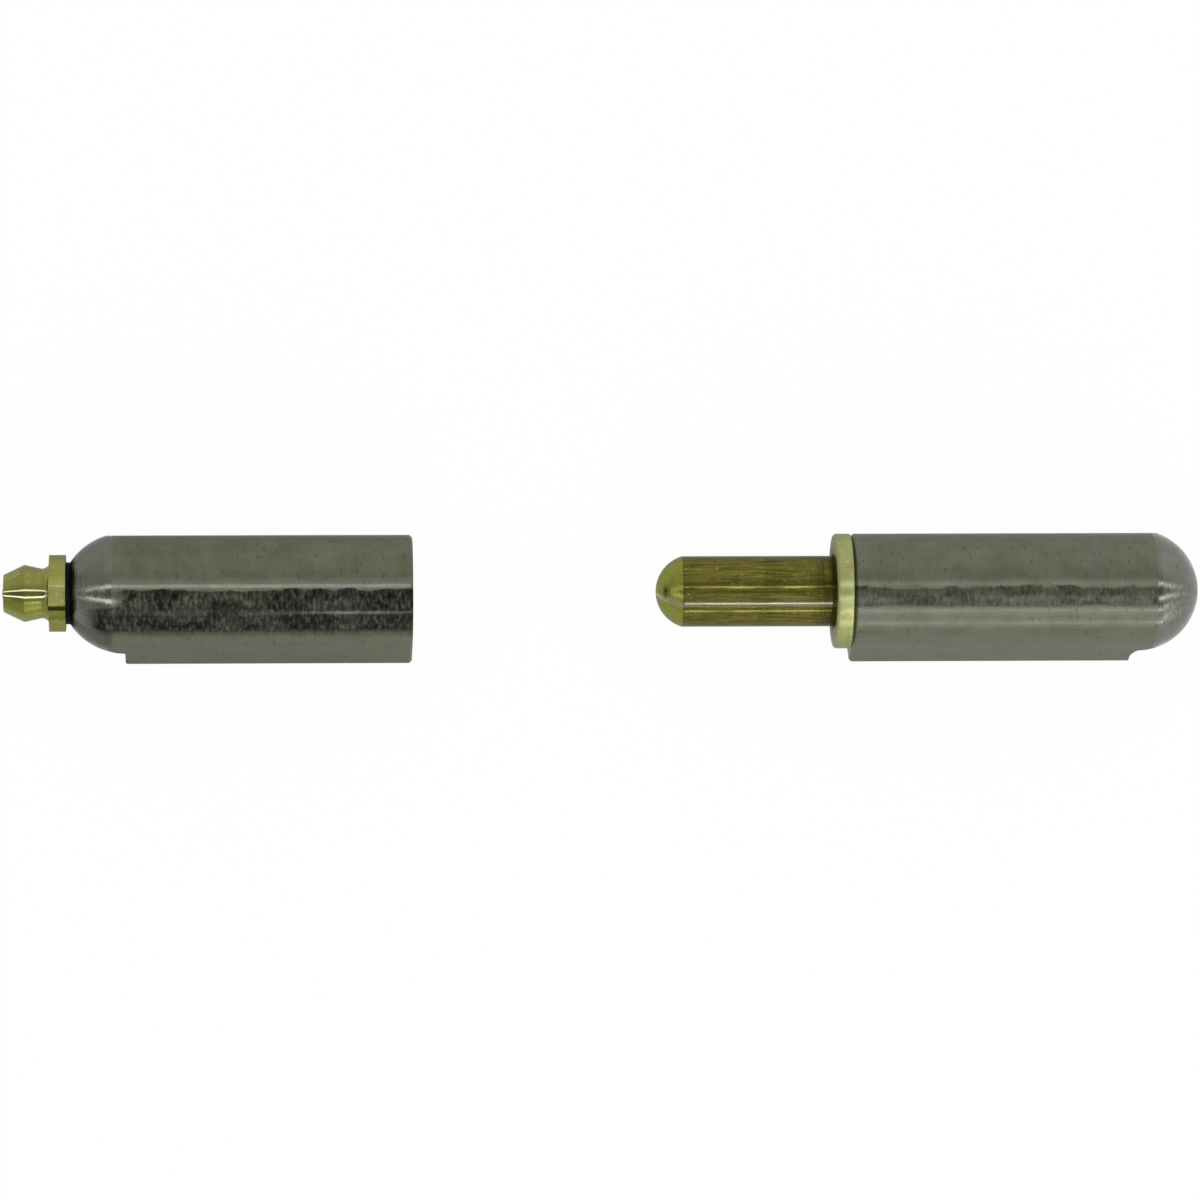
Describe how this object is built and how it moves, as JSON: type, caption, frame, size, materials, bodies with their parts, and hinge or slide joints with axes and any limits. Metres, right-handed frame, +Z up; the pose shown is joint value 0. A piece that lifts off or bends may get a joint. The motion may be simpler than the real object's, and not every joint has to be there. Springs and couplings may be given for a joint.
{
  "type": "weld-on barrel hinge",
  "caption": "Weld-on barrel hinge with a greasable socket barrel, a pin barrel with a fixed brass pin, and a brass thrust washer, shown pulled apart.",
  "frame": {"origin": "centre of the footprint of both halves as they lie pulled apart, on the surface they lie on", "axes": "+X along the pin's axis from the socket half to the pin half, -Y the way the weld lips point, +Z up"},
  "size_m": [0.1354, 0.0144, 0.013],
  "materials": {
    "socket_steel": "turned mild steel with mill scale, lightly oiled",
    "pin_half_steel": "drawn and turned mild steel, lightly oiled",
    "pin_brass": "drawn, slightly tarnished",
    "washer_brass": "turned face",
    "fitting_brass": "turned, bright",
    "ball_steel": "polished ball",
    "spring_steel": "drawn wire"
  },
  "bodies": {
    "pin_half": {"pin_barrel": "pin_half_steel", "hinge_pin": "pin_brass"},
    "washer": {"thrust_washer": "washer_brass"},
    "socket_half": {"socket_barrel": "socket_steel", "grease_fitting": "fitting_brass", "check_spring": "spring_steel"},
    "ball": {"check_ball": "ball_steel"}
  },
  "joints": [
    {"name": "swing", "type": "hinge", "parent": "pin_half", "child": "washer", "pos_m": [0.0272, 0.00074, 0.0065], "axis": [1, 0, 0], "continuous": true},
    {"name": "slide_on", "type": "slide", "parent": "washer", "child": "socket_half", "axis": [1, 0, 0], "range_m": [0, 0.0477]},
    {"name": "grease_check", "type": "slide", "parent": "socket_half", "child": "ball", "axis": [1, 0, 0], "range_m": [0, 0.0008], "stiffness_N_per_m": 500, "springref_m": -0.003, "deforming": ["check_spring"]}
  ]
}
